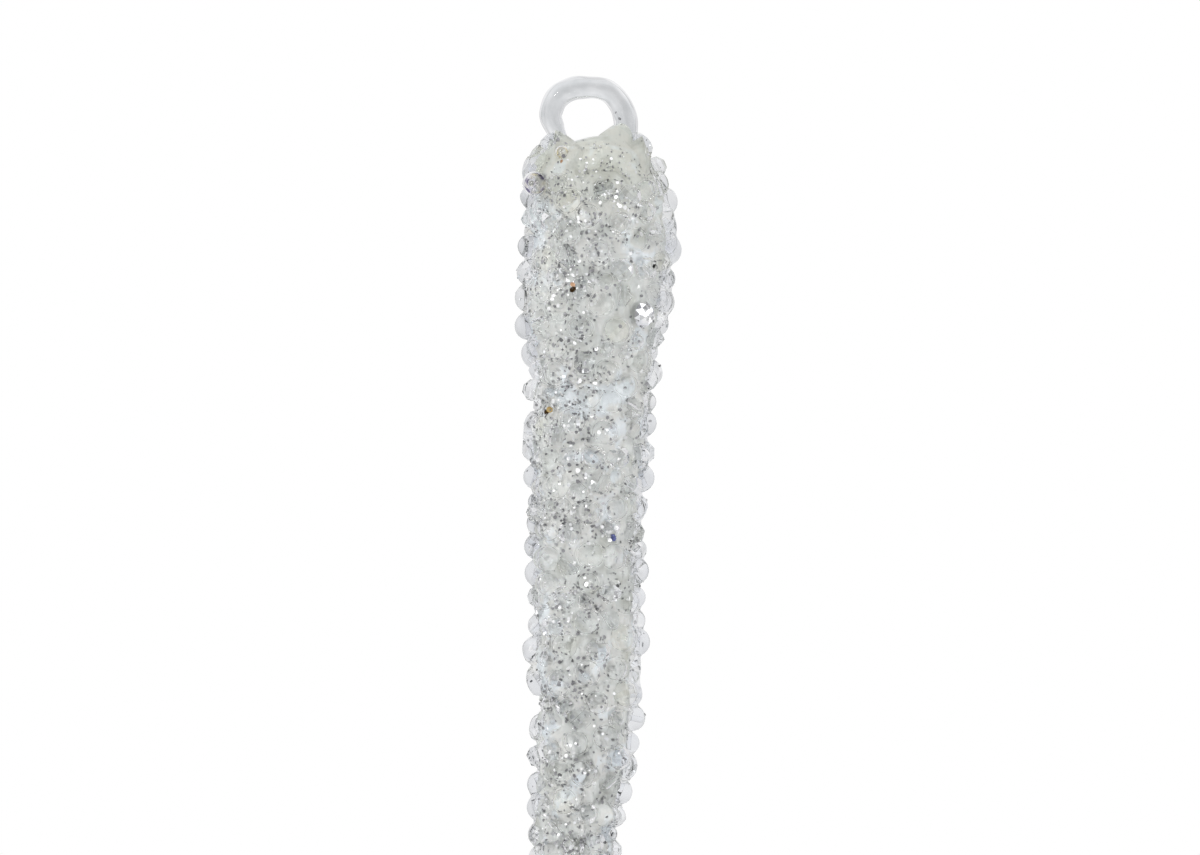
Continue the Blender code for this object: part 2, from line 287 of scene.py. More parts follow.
# Clear plastics and glasses: the pale and the deep end of the tint, roughness and index of refraction. The
# seed beads' index is low because they lie in clear glue.
GLASSES = {
    "clear_seed_glass": ((1.0, 1.0, 1.0), (0.96, 0.965, 0.98), 0.0, 1.055),
    "side_seed_glass": ((0.97, 0.975, 0.985), (0.88, 0.89, 0.915), 0.0, 1.06),
    "warm_seed_glass": ((1.0, 1.0, 0.98), (0.96, 0.955, 0.93), 0.0, 1.045),
    "milky_seed_glass": ((1.0, 1.0, 1.0), (0.95, 0.955, 0.97), 0.25, 1.06),
    "glued_seed_glass": ((1.0, 1.0, 1.0), (0.97, 0.975, 0.97), 0.0, 1.03),
    "cut_crystal_glass": ((1.0, 1.0, 1.0), (0.95, 0.96, 0.98), 0.0, 1.16),
    "polished_crystal_glass": ((1.0, 1.0, 1.0), (0.95, 0.96, 0.97), 0.0, 1.17),
    "clear_glue": ((1.0, 1.0, 1.0), (0.96, 0.965, 0.96), 0.0, 1.09),
    "clear_rod_glass": ((0.96, 0.965, 0.97), (0.76, 0.78, 0.79), 0.0, 1.18),
    "core_plastic": ((0.84, 0.86, 0.84), (0.76, 0.78, 0.75), 0.2, 1.49),
}
# Colour stops: the glue's broad greys, the grain of flakes buried in it and its warmer crown, the tints of
# the rainbow beads, whose near-black stop is painted shade for their dark outline, and how they cover the
# rim, the foil-backed stones, and the floor.
GLUE_GREYS = (
    (0.32, (0.57, 0.58, 0.54)),
    (0.43, (0.70, 0.72, 0.70)),
    (0.54, (0.73, 0.73, 0.70)),
    (0.62, (0.79, 0.83, 0.85)),
)
GLUE_GRAIN = (
    (0.0, (0.45, 0.45, 0.44)),
    (0.14, (0.95, 0.95, 0.95)),
    (0.88, (1.0, 1.0, 1.0)),
    (1.0, (1.4, 1.4, 1.4)),
)
GRAIN_STRENGTH = 0.45
CROWN_TINT = ((0.0, (1, 1, 1)), (1.0, (0.88, 0.88, 0.83)))
CROWN_TINT_START = -26 * MM
CROWN_TINT_FULL = -12 * MM
# The rainbow coat's tints. The near-black first stop is painted shade for the dark outline at the bead's
# rim.
RAINBOW_AND_RIM_SHADE = (
    (0.40, (0.04, 0.03, 0.09)),
    (0.45, (0.36, 0.33, 0.44)),
    (0.50, (0.84, 0.83, 0.84)),
    (0.62, (0.80, 0.68, 0.40)),
)
RIM_TINT_AND_SHADE_COVER = ((0.70, (0, 0, 0)), (0.86, (1, 1, 1)))
FOIL_SHADES = ((0.4, (0.88, 0.89, 0.92)), (0.6, (1.0, 1.0, 1.0)))
FLOOR_SHADES = ((0.3, (0.86, 0.86, 0.86)), (0.7, (0.89, 0.89, 0.89)))

# The set. The view is a long lens, level with the middle of what the photograph shows.
VIEW_WIDTH = 204 * MM
VIEW_CENTRE = Vector((1.96, 0.0, -56.0)) * MM
LENS_MM = 100
SENSOR_MM = 36
FLOOR_RADIUS = 350 * MM
FLOOR_HEIGHT = -262 * MM
FLOOR_CORNERS = 96
# Name, place, size and radiance of each light, in metres. They all point at one place on the icicle.
LIGHTS = (
    ("softbox_front", (-0.15, -0.80, 0.20), (0.40, 0.40), 0.9),
    ("softbox_left", (-0.50, -0.35, 0.15), (0.25, 0.50), 1.1),
    ("softbox_right", (0.55, -0.20, 0.05), (0.18, 0.50), 1.05),
    ("spark", (-0.20, -0.55, 0.30), (0.05, 0.05), 40.0),
)
LIGHT_AIM = Vector((0, 0, -0.06))
# The rooms round the icicle, as noise scale and stops of brightness: soft through glass and on matt
# surfaces, and with dark and bright patches for what glitters.
SOFT_ROOM = (2.0, ((0.36, 0.64), (0.50, 0.78), (0.64, 0.90)))
CONTRAST_ROOM = (3.2, ((0.42, 0.30), (0.52, 0.62), (0.58, 1.6), (0.66, 3.2)))
ROOM_TINT = (1.0, 1.005, 1.02)


def link(obj):
    bpy.context.scene.collection.objects.link(obj)
    return obj


# The icicle's shape

LEAN_TURN = Matrix.Rotation(LEAN, 4, "Y")
BODY = Matrix.Translation(CROWN_TOP) @ LEAN_TURN


def coat_radius(depth):
    """Radius of the glue coat at a depth below the crown."""
    taper = TIP_RADIUS + TAPER_RADIUS * max(1 - depth / BODY_LENGTH, 0) ** TAPER_POWER
    above_shoulder = min(max(1 - depth / DOME_DEPTH, 0), 1)
    dome = max(1 - above_shoulder**DOME_POWER, 0) ** (1 / DOME_POWER)
    past_tip = min(max(1 - (BODY_LENGTH - depth) / TIP_ROUND, 0), 1)
    tip = math.sqrt(max(1 - past_tip**2, 0))
    return taper * dome * tip


def swollen_radius(depth, turn):
    """Radius of the glue coat with its thin sides and its swells, at a depth and a turn round the axis."""
    radius = coat_radius(depth)
    radius -= SIDE_THINNING * math.cos(turn) ** 2 * min(radius / TIP_RADIUS, 1)
    for side, middle, height, half_length in SWELLS:
        facing = max(side * math.cos(turn), 0) ** 2 * min(depth / DOME_START, 1)
        radius += height * facing * math.exp(-(((depth - middle) / half_length) ** 2) / 2)
    return radius


def surface_frame(depth, turn):
    """A point on the coat and its outward normal, in the icicle's own axes."""
    step = 0.4 * MM
    upper = max(depth - step, 0.0)
    lower = min(depth + step, BODY_LENGTH)
    slope = (swollen_radius(lower, turn) - swollen_radius(upper, turn)) / (lower - upper)
    radial = Vector((math.cos(turn), math.sin(turn), 0.0))
    point = radial * swollen_radius(depth, turn) - Vector((0, 0, depth))
    normal = (radial + Vector((0, 0, slope))).normalized()
    return point, normal


def lumps(point, layers):
    """Sum of a few layers of noise at a point, each with its size across, its height and its shift."""
    return sum(height * noise.noise(Vector(point) / size + Vector(shift)) for size, height, shift in layers)


def depth_sampler():
    """Turns a number from 0 to 1 into a depth, so that equal shares are equal areas of the coat."""
    first = 0.5 * MM
    last = BODY_LENGTH - 0.3 * MM
    depths = np.linspace(first, last, 1500)
    radii = np.array([coat_radius(depth) for depth in depths])
    run = np.gradient(depths)
    rise = np.gradient(radii)
    area = np.cumsum(radii * np.hypot(run, rise))
    area /= area[-1]
    return lambda share: float(np.interp(share, area, depths))


# Materials


def new_material(name):
    made = bpy.data.materials.new(name)
    made.use_nodes = True
    nodes = made.node_tree.nodes
    return made, nodes, made.node_tree.links, nodes["Principled BSDF"]


def object_place(nodes):
    return nodes.new("ShaderNodeTexCoord").outputs["Object"]


def noise_node(nodes, links, coordinate, scale, detail=3.0):
    made = nodes.new("ShaderNodeTexNoise")
    made.inputs["Scale"].default_value = scale
    made.inputs["Detail"].default_value = detail
    links.new(coordinate, made.inputs["Vector"])
    return made


def ramp_node(nodes, links, source, stops):
    made = nodes.new("ShaderNodeValToRGB")
    elements = made.color_ramp.elements
    while len(elements) < len(stops):
        elements.new(0.5)
    for element, (place, colour) in zip(elements, stops):
        element.position = place
        element.color = (*colour, 1.0)
    links.new(source, made.inputs["Fac"])
    return made


def colour_mix(nodes, links, first, second):
    """A mix of two colours, each a socket or a fixed colour. Unless changed, it is half and half."""
    made = nodes.new("ShaderNodeMix")
    made.data_type = "RGBA"
    for number, colour in ((6, first), (7, second)):
        if isinstance(colour, tuple):
            made.inputs[number].default_value = (*colour, 1.0)
        else:
            links.new(colour, made.inputs[number])
    return made


def glass(name):
    """Clear glass or plastic whose tint wanders between two colours."""
    pale, deep, roughness, ior = GLASSES[name]
    made, nodes, links, shader = new_material(name)
    tint = noise_node(nodes, links, object_place(nodes), 260)
    colour = ramp_node(nodes, links, tint.outputs["Fac"], ((0.35, deep), (0.65, pale)))
    links.new(colour.outputs["Color"], shader.inputs["Base Color"])
    shader.inputs["Roughness"].default_value = roughness
    shader.inputs["IOR"].default_value = ior
    shader.inputs["Transmission Weight"].default_value = 1.0
    return made


def aurora_glass_with_rim_shade():
    """Glass whose rim is tinted violet to straw yellow like a thin rainbow coat, with painted shade for its
    dark outline.
    """
    made, nodes, links, shader = new_material("aurora_glass_with_rim_shade")
    bands = noise_node(nodes, links, object_place(nodes), 420, 1.0)
    # The near-black end of this ramp is painted shade, the bead's dark outline; the rest is its rainbow
    # coat.
    coat = ramp_node(nodes, links, bands.outputs["Fac"], RAINBOW_AND_RIM_SHADE)
    rim = nodes.new("ShaderNodeAttribute")
    rim.attribute_name = "rim"
    cover = ramp_node(nodes, links, rim.outputs["Fac"], RIM_TINT_AND_SHADE_COVER)
    mix = colour_mix(nodes, links, (0.95, 0.94, 0.95), coat.outputs["Color"])
    links.new(cover.outputs["Color"], mix.inputs["Factor"])
    links.new(mix.outputs[2], shader.inputs["Base Color"])
    shader.inputs["Roughness"].default_value = 0.0
    shader.inputs["IOR"].default_value = 1.16
    shader.inputs["Transmission Weight"].default_value = 1.0
    return made


def foil_material():
    """A foil-backed crystal: facets that flash like small mirrors."""
    made, nodes, links, shader = new_material("foil_backed_crystal")
    shade = noise_node(nodes, links, object_place(nodes), 500, 1.0)
    colour = ramp_node(nodes, links, shade.outputs["Fac"], FOIL_SHADES)
    links.new(colour.outputs["Color"], shader.inputs["Base Color"])
    shader.inputs["Metallic"].default_value = 1.0
    shader.inputs["Roughness"].default_value = 0.12
    return made


def glue_material():
    """Glue full of glitter: patches of grey, warmer near the crown, with a fine grain of buried flakes."""
    made, nodes, links, shader = new_material("glitter_glue")
    place = object_place(nodes)
    broad = noise_node(nodes, links, place, 170, 4.0)
    greys = ramp_node(nodes, links, broad.outputs["Fac"], GLUE_GREYS)
    cells = nodes.new("ShaderNodeTexVoronoi")
    cells.inputs["Scale"].default_value = 2200
    links.new(place, cells.inputs["Vector"])
    grain = ramp_node(nodes, links, cells.outputs["Color"], GLUE_GRAIN)
    grained = colour_mix(nodes, links, greys.outputs["Color"], grain.outputs["Color"])
    grained.blend_type = "MULTIPLY"
    grained.inputs["Factor"].default_value = GRAIN_STRENGTH
    height = nodes.new("ShaderNodeSeparateXYZ")
    links.new(place, height.inputs["Vector"])
    near_crown = nodes.new("ShaderNodeMapRange")
    near_crown.inputs["From Min"].default_value = CROWN_TINT_START
    near_crown.inputs["From Max"].default_value = CROWN_TINT_FULL
    links.new(height.outputs["Z"], near_crown.inputs["Value"])
    crown_tint = ramp_node(nodes, links, near_crown.outputs["Result"], CROWN_TINT)
    tinted = colour_mix(nodes, links, grained.outputs[2], crown_tint.outputs["Color"])
    tinted.blend_type = "MULTIPLY"
    tinted.inputs["Factor"].default_value = 1.0
    links.new(tinted.outputs[2], shader.inputs["Base Color"])
    small = noise_node(nodes, links, place, 1100)
    bump = nodes.new("ShaderNodeBump")
    bump.inputs["Strength"].default_value = 0.3
    bump.inputs["Distance"].default_value = 0.15 * MM
    links.new(small.outputs["Fac"], bump.inputs["Height"])
    links.new(bump.outputs["Normal"], shader.inputs["Normal"])
    shader.inputs["Roughness"].default_value = 0.35
    shader.inputs["IOR"].default_value = 1.48
    return made


def flake_material(name):
    """Metallic flakes whose tone wanders a little from place to place."""
    colour, roughness = FLAKE_LOOKS[name]
    made, nodes, links, shader = new_material(name)
    patch = noise_node(nodes, links, object_place(nodes), 700, 1.0)
    shaded = tuple(channel * 0.75 for channel in colour)
    tone = ramp_node(nodes, links, patch.outputs["Fac"], ((0.4, shaded), (0.6, colour)))
    links.new(tone.outputs["Color"], shader.inputs["Base Color"])
    shader.inputs["Metallic"].default_value = 1.0
    shader.inputs["Roughness"].default_value = roughness
    return made


# Meshes


def mesh_object(name, verts, faces, material, smooth):
    mesh = bpy.data.meshes.new(name)
    mesh.from_pydata([tuple(vert) for vert in verts], [], [tuple(face) for face in faces])
    mesh.polygons.foreach_set("use_smooth", [smooth] * len(mesh.polygons))
    mesh.materials.append(material)
    mesh.update()
    return link(bpy.data.objects.new(name, mesh))


def joined(name, template, matrices, material, smooth):
    """One object of many copies of a template, each put where its matrix says."""
    base, faces = template
    homogeneous = np.c_[base, np.ones(len(base))]
    verts = np.concatenate([homogeneous @ np.array(matrix).T[:, :3] for matrix in matrices])
    copies = [[corner + i * len(base) for corner in face] for i in range(len(matrices)) for face in faces]
    return mesh_object(name, verts, copies, material, smooth)


def turned_ring(section, sides):
    """A closed ring turned round Z from a closed cross-section of (radius, height) points, unit sized."""
    verts = []
    for side in range(sides):
        angle = 2 * math.pi * side / sides
        verts += [(radius * math.cos(angle), radius * math.sin(angle), height) for radius, height in section]
    count = len(section)
    faces = []
    for side in range(sides):
        here = side * count
        there = (side + 1) % sides * count
        for i in range(count):
            j = (i + 1) % count
            faces.append((here + i, there + i, there + j, here + j))
    return np.array(verts), faces


def seed_bead():
    """A round seed bead with a narrow threading hole."""
    hole = 0.20
    hole_end = 0.76
    height = 0.93
    rim = math.radians(74)
    steps = 8
    section = [(hole, hole_end), (hole, -hole_end)]
    for i in range(steps + 1):
        angle = -rim + 2 * rim * i / steps
        section.append((math.cos(angle), height * math.sin(angle)))
    return turned_ring(section[::-1], 16)


def cut_bead(section):
    """A faceted bead with eight sides."""
    return turned_ring(section[::-1], 8)


# Cross-sections of the cut beads, as radius and height
ROUND_CUT = ((0.24, -0.84), (0.50, -0.86), (0.95, -0.36), (0.95, 0.36), (0.50, 0.86), (0.24, 0.84))
BICONE_CUT = ((0.22, -0.88), (0.42, -0.88), (1.0, 0.0), (0.42, 0.88), (0.22, 0.88))


def star_crystal():
    """A round stone with a crown of facets that meet in a small table, seen from its table side."""
    # radius, height and turn of each ring of corners, the turn in facets
    rings = ((0.18, 0.66, 0.0), (0.48, 0.60, 0.5), (0.80, 0.34, 0.0), (1.0, 0.0, 0.5), (0.55, -0.55, 0.0))
    sides = 10
    verts = []
    for radius, height, shift in rings:
        for side in range(sides):
            angle = 2 * math.pi * (side + shift) / sides
            verts.append((radius * math.cos(angle), radius * math.sin(angle), height))
    table = tuple(range(sides))
    back = tuple((len(rings) - 1) * sides + side for side in range(sides))
    faces = [table, back[::-1]]
    for ring in range(len(rings) - 1):
        ahead = rings[ring + 1][2] > rings[ring][2]
        for side in range(sides):
            upper = ring * sides + side
            next_upper = ring * sides + (side + 1) % sides
            lower = upper + sides
            next_lower = next_upper + sides
            if ahead:
                faces += [(upper, lower, next_upper), (next_upper, lower, next_lower)]
            else:
                faces += [(upper, lower, next_lower), (upper, next_lower, next_upper)]
    return np.array(verts), faces


def hexagon_flake():
    """A hexagonal flake of glitter as a thin closed plate."""
    half = FLAKE_THICKNESS / 2
    corners = [math.radians(60 * i) for i in range(6)]
    verts = [
        (FLAKE_RADIUS * math.cos(corner), FLAKE_RADIUS * math.sin(corner), height)
        for height in (-half, half)
        for corner in corners
    ]
    sides = [(i, (i + 1) % 6, (i + 1) % 6 + 6, i + 6) for i in range(6)]
    caps = [(5, 4, 3, 2), (5, 2, 1, 0), (6, 7, 8, 9), (6, 9, 10, 11)]
    return np.array(verts), sides + caps


# The beads


# A bead in the icicle's own axes: its middle, the coat's normal and the place on the coat under it, its
# diameter, the share of it that is in the glue, and its kind.
Bead = namedtuple("Bead", "centre normal foot diameter sink kind")


def bare_crown(depth, turn):
    """Whether a place is on the crown, which carries glue and glitter but few beads."""
    return depth < BARE_CROWN_AT_SIDES + BARE_CROWN_EXTRA * math.sin(turn) ** 2


def cad_crystals():
    return [bpy.data.objects[name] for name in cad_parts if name.startswith("crystal_bead")]


def cad_beads():
    """The crystals that the CAD sets in the coat, as beads."""
    to_body = BODY.inverted()
    found = []
    for crystal in cad_crystals():
        low, high = (Vector(corner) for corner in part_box(crystal.name))
        size = LARGE_CRYSTAL if max(high - low) > CRYSTAL_SPLIT else SMALL_CRYSTAL
        centre = to_body @ ((low + high) / 2)
        outward = Vector((centre.x, centre.y, 0.0)).normalized()
        foot = centre - outward * size * (0.5 - BEAD_SINK / 2)
        found.append(Bead(centre, outward, foot, size, BEAD_SINK, "cad"))
    return found


def named_places():
    """Depth and turn of each bead that stands out, where it faces the viewer."""
    for x, z, diameter, sink, kind in NAMED_BEADS:
        seen = BODY.inverted() @ Vector((x, 0, z))
        turn = -math.pi / 2
        # how far out a bead sits depends on its turn, so the turn is settled in a few rounds
        for _ in range(4):
            reach = swollen_radius(-seen.z, turn) + diameter * (0.5 - sink / 2)
            turn = -math.acos(max(-1, min(1, seen.x / reach)))
        yield -seen.z, turn, diameter, sink, kind


def row_places():
    """Places for the two even rows of beads that run down the icicle's right and left sides."""
    for side_turn, depth in ROW_STARTS:
        while depth < BODY_LENGTH - ROW_END:
            diameter = random.uniform(*ROW_DIAMETERS)
            if coat_radius(depth) < SLIM_COAT_RADIUS:
                diameter *= ROW_SLIM_SHRINK
            turn = side_turn + random.uniform(-ROW_WANDER, ROW_WANDER)
            yield depth, turn, diameter, random.uniform(*ROW_SINKS), "row"
            depth += diameter * random.uniform(*ROW_PITCHES)


def loose_places():
    """Random places for beads of falling size, with equal chances over the coat's area."""
    sample = depth_sampler()
    for size, tries in BEAD_SIZES:
        for _ in range(tries):
            depth = sample(random.random())
            turn = random.uniform(0, 2 * math.pi)
            diameter = size * random.uniform(*SIZE_SPREAD)
            too_large = coat_radius(depth) < SLIM_COAT_RADIUS and diameter > LARGEST_SLIM_BEAD
            if not bare_crown(depth, turn) and not too_large:
                yield depth, turn, diameter, BEAD_SINK, "cut" if random.random() < CUT_SHARE else "loose"


def hides(centre, diameter, beads):
    """Whether a bead would cover, for the viewer, a rainbow bead or a foil-backed stone."""
    for bead in beads:
        if bead.kind in ("aurora", "star") and centre.y < bead.centre.y:
            apart = math.hypot(centre.x - bead.centre.x, centre.z - bead.centre.z)
            if apart < HIDING_DISTANCE * (diameter + bead.diameter):
                return True
    return False


def pack_beads():
    """Packs the beads round the CAD's crystals, dropping each one that would run into another."""
    beads = cad_beads()
    centres = np.array([tuple(bead.centre) for bead in beads])
    sizes = np.array([bead.diameter for bead in beads])
    for places in (named_places(), row_places(), loose_places()):
        for depth, turn, diameter, sink, kind in places:
            spacing = BEAD_SPACING if kind in ("loose", "cut") else ROW_SPACING
            foot, normal = surface_frame(depth, turn)
            centre = foot + normal * diameter * (0.5 - sink / 2)
            apart = np.linalg.norm(centres - np.array(tuple(centre)), axis=1)
            if np.any(apart < spacing * (sizes + diameter) / 2) or hides(centre, diameter, beads):
                continue
            beads.append(Bead(centre, normal, foot, diameter, sink, kind))
            centres = np.vstack([centres, tuple(centre)])
            sizes = np.append(sizes, diameter)
    return beads


def bead_matrix(bead):
    """Where a bead goes and how it lies. A rainbow bead's hole turns towards the viewer and a foil-backed
    stone's table outwards. The hole of any other points any way, but more often along the surface."""
    upright = bead.normal.to_track_quat("Z", "Y")
    if bead.kind == "aurora":
        to_viewer = Vector((0, -2, 0))
        upright = (bead.normal + to_viewer).to_track_quat("Z", "Y")
    elif bead.kind != "star":
        spin = Quaternion((0, 0, 1), random.uniform(0, 2 * math.pi))
        upright = upright @ spin @ Quaternion((1, 0, 0), math.acos(random.uniform(-1, 1) ** 3))
    turn = upright.to_matrix().to_4x4()
    return BODY @ Matrix.Translation(bead.centre) @ turn @ Matrix.Diagonal((bead.diameter / 2,) * 3).to_4x4()


def make_beads(beads):
    """One piece for each kind of bead, and a better glass on the CAD's crystals."""
    cut_glass = glass("cut_crystal_glass")
    # name, template, material, smooth, and the share of each kind of place that it takes
    pieces = (
        ("seed_beads_clear", seed_bead(), glass("clear_seed_glass"), True, {"loose": 0.34}),
        ("seed_beads_side", seed_bead(), glass("side_seed_glass"), True, {"clear": 1, "row": 0.70}),
        ("seed_beads_warm", seed_bead(), glass("warm_seed_glass"), True, {"loose": 0.20}),
        ("seed_beads_milky", seed_bead(), glass("milky_seed_glass"), True, {"loose": 0.12, "row": 0.20}),
        ("seed_beads_glued", seed_bead(), glass("glued_seed_glass"), True, {"loose": 0.34}),
        ("cut_beads_round", cut_bead(ROUND_CUT), cut_glass, False, {"cut": 0.6, "row": 0.06}),
        ("cut_beads_bicone", cut_bead(BICONE_CUT), cut_glass, False, {"cut": 0.4, "row": 0.04}),
        ("aurora_beads", seed_bead(), aurora_glass_with_rim_shade(), True, {"aurora": 1}),
        ("star_crystals", star_crystal(), foil_material(), False, {"star": 1}),
    )
    groups = {name: [] for name, *_ in pieces}
    for bead in beads:
        if bead.kind == "cad":
            continue
        shares = [taken.get(bead.kind, 0) for *_, taken in pieces]
        name = random.choices(list(groups), shares)[0]
        groups[name].append(bead_matrix(bead))
    made = []
    for name, template, material, smooth, _ in pieces:
        piece = joined(name, template, groups[name], material, smooth)
        if name == "aurora_beads":
            # how far each corner is from the bead's axis, for the tint of its rim and the painted shade of
            # its dark outline
            reach = np.hypot(*template[0].T[:2])
            rim = piece.data.attributes.new("rim", "FLOAT", "POINT")
            rim.data.foreach_set("value", np.tile(reach, len(groups[name])))
        piece.visible_shadow = False
        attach(piece, "root")
        made.append(piece)
    polished = glass("polished_crystal_glass")
    for crystal in cad_crystals():
        crystal.material_slots[0].material = polished
        crystal.visible_shadow = False
    return made


# The glue coat


def foot_collars(points):
    """How far the glue climbs the loop's two feet, and dips between them."""
    world = np.array([tuple(BODY @ Vector(point)) for point in points])
    rise = np.zeros(len(points))
    for x, spread, height in FOOT_COLLARS:
        away = ((world[:, 0] - x) ** 2 + world[:, 1] ** 2) / spread**2
        rise += height * np.exp(-away / 2) * (world[:, 2] > COLLARS_END)
    return rise


def around_bead(bead, points, normals, reach):
    """The points near a bead's foot, up and down: which they are, how far they are along the bead's axis and
    across it, and how nearly their normals follow it."""
    near = np.nonzero(np.abs(points[:, 2] - bead.foot.z) < reach)[0]
    axis = np.array(tuple(bead.normal))
    away = points[near] - np.array(tuple(bead.foot))
    along = away @ axis
    across = np.sqrt(np.maximum((away**2).sum(1) - along**2, 0))
    return near, along, across, normals[near] @ axis


def coat_heights(beads, points, normals):
    """How far the glue stands off the smooth outline at each point, with its climb up each bead."""
    heights = foot_collars(points)
    heights += [lumps(point, COAT_LUMPS) for point in points]
    for bead in beads:
        radius = bead.diameter / 2
        near, along, across, facing = around_bead(bead, points, normals, radius + GLUE_REACH_DOWN)
        keep = (across < radius + GLUE_REACH_ACROSS) & (along > -radius * GLUE_REACH_INWARD)
        keep &= facing > GLUE_FACING
        near = near[keep]
        along = along[keep]
        across = across[keep]
        rise = radius * (1 - bead.sink)
        underside = rise - np.sqrt(np.maximum(radius**2 - across**2, 0))
        wet = rise * GLUE_CLIMB
        wet_across = math.sqrt(radius**2 - (rise - wet) ** 2)
        climb = np.where(
            across < wet_across,
            np.minimum(underside + GLUE_OVERLAP, wet),
            wet * np.exp(-(across - wet_across) / GLUE_FALL),
        )
        target = climb - along
        under = across < wet_across * GLUE_UNDER_BEAD
        heights[near] = np.where(under, np.maximum(target, GLUE_DIP), np.maximum(heights[near], target))
    return heights


def coat_grid(rings, segments):
    """Points on the icicle's smooth outline, their normals, and faces that close it at both ends."""
    first = CROWN_RING_DEPTH
    last = BODY_LENGTH - TIP_ROUND
    crown = [first * (i / (CROWN_RINGS + 1)) ** 2 for i in range(1, CROWN_RINGS + 1)]
    body = [depth for depth in np.linspace(0, BODY_LENGTH, rings) if first <= depth < last]
    tip = [BODY_LENGTH - TIP_ROUND * (1 - i / TIP_RINGS) ** 2 for i in range(TIP_RINGS)]
    depths = crown + body + tip
    turns = [2 * math.pi * side / segments for side in range(segments)]
    frames = [surface_frame(depth, turn) for depth in depths for turn in turns]
    frames += [(Vector((0, 0, 0)), Vector((0, 0, 1))), (Vector((0, 0, -BODY_LENGTH)), Vector((0, 0, -1)))]
    top_point = len(frames) - 2
    tip_point = len(frames) - 1
    last_ring = (len(depths) - 1) * segments
    faces = []
    for side in range(segments):
        ahead = (side + 1) % segments
        faces.append((top_point, side, ahead))
        faces.append((tip_point, last_ring + ahead, last_ring + side))
        for ring in range(0, last_ring, segments):
            faces.append((ring + side, ring + segments + side, ring + segments + ahead, ring + ahead))
    points = np.array([tuple(point) for point, _ in frames])
    normals = np.array([tuple(normal) for _, normal in frames])
    return points, normals, faces


def make_coat(beads):
    """The lumpy glue coat, in place of the CAD's smooth one."""
    points, normals, faces = coat_grid(COAT_RINGS, COAT_SEGMENTS)
    shaped = points + normals * coat_heights(beads, points, normals)[:, None]
    verts = [BODY @ Vector(point) for point in shaped]
    coat = mesh_object("glitter_glue_coat", verts, faces, glue_material(), True)
    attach(coat, "root")
    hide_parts("glue_coat")
    return coat


def flow_over_beads(beads, points, normals, heights):
    """Raises the skin over each plain seed bead as a dome that runs softly into the next one."""
    swell = np.exp(heights / SKIN_CREASE)
    for bead in beads:
        if bead.kind in ("cad", "aurora", "star", "cut"):
            continue
        radius = bead.diameter / 2 + SKIN_FILM
        near, along, across, facing = around_bead(bead, points, normals, SKIN_REACH_DOWN * radius)
        keep = (across < SKIN_REACH_ACROSS * radius) & (facing > SKIN_FACING)
        dome = np.sqrt(np.maximum(radius**2 - across**2, 0)) - SKIN_FALL * np.maximum(across - radius, 0)
        target = bead.diameter * (0.5 - bead.sink / 2) + dome - along
        swell[near[keep]] += np.exp(target[keep] / SKIN_CREASE)
    return SKIN_CREASE * np.log(swell)


def make_skin(beads):
    """Clear glue that joins the beads and covers most of them."""
    points, normals, faces = coat_grid(SKIN_RINGS, SKIN_SEGMENTS)
    depths = -points[:, 2]
    to_tip = BODY_LENGTH - depths
    ends = np.clip(depths / SKIN_FADE, SKIN_AT_CROWN, 1) * np.clip(to_tip / SKIN_FADE, SKIN_AT_TIP, 1)
    across_squared = points[:, 0] ** 2 + points[:, 1] ** 2
    sideways = points[:, 0] ** 2 / np.maximum(across_squared, 1e-12)
    thickness = SKIN_THICKNESS + SKIN_EXTRA_AT_SIDES * sideways**2
    wander = np.array([lumps(point, SKIN_LUMPS) for point in points])
    heights = np.maximum(thickness + wander, SKIN_LEAST)
    heights = flow_over_beads(beads, points, normals, heights * ends)
    shaped = points + normals * heights[:, None]
    verts = [BODY @ Vector(point) for point in shaped]
    skin = mesh_object("clear_glue_skin", verts, faces, glass("clear_glue"), True)
    skin.visible_shadow = False
    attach(skin, "root")
    return skin


# The loop


def smooth_path(stations, steps):
    """A Catmull-Rom path through the stations."""
    rows = np.array(stations)
    rows = np.vstack([2 * rows[0] - rows[1], rows, 2 * rows[-1] - rows[-2]])
    path = []
    for i in range(1, len(rows) - 2):
        before, start, end, after = rows[i - 1 : i + 3]
        square = 2 * before - 5 * start + 4 * end - after
        cube = 3 * start - before - 3 * end + after
        for share in np.linspace(0, 1, steps, endpoint=False):
            path.append(0.5 * (2 * start + (end - before) * share + square * share**2 + cube * share**3))
    path.append(rows[-2])
    return np.array(path)


def make_loop():
    """The bent clear rod, a little lumpy, closed at both feet."""
    path = smooth_path(LOOP_STATIONS, LOOP_STEPS) * MM
    verts = []
    for i, (x, z, radius) in enumerate(path):
        ahead = path[min(i + 1, len(path) - 1)]
        behind = path[max(i - 1, 0)]
        along = Vector((ahead[0] - behind[0], 0, ahead[1] - behind[1])).normalized()
        outward = Vector((-along.z, 0, along.x))
        for side in range(LOOP_SIDES):
            angle = 2 * math.pi * side / LOOP_SIDES
            around = Vector((math.cos(angle), math.sin(angle), 3))
            lump = 1 + LOOP_LUMP * noise.noise(Vector((x, z, 0)) / LOOP_LUMP_SIZE + around)
            offset = outward * math.cos(angle) + Vector((0, 1, 0)) * math.sin(angle)
            verts.append(tuple(Vector((x, 0, z)) + offset * radius * lump))
    last_ring = (len(path) - 1) * LOOP_SIDES
    faces = []
    for ring in range(0, last_ring, LOOP_SIDES):
        for side in range(LOOP_SIDES):
            here = ring + side
            beside = ring + (side + 1) % LOOP_SIDES
            faces.append((here, beside, beside + LOOP_SIDES, here + LOOP_SIDES))
    faces.append(tuple(range(LOOP_SIDES))[::-1])
    faces.append(tuple(last_ring + side for side in range(LOOP_SIDES)))
    loop = mesh_object("wavy_glass_loop", verts, faces, glass("clear_rod_glass"), True)
    loop.visible_shadow = False
    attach(loop, "root")
    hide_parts("hanging_loop")
    return loop


# The glitter


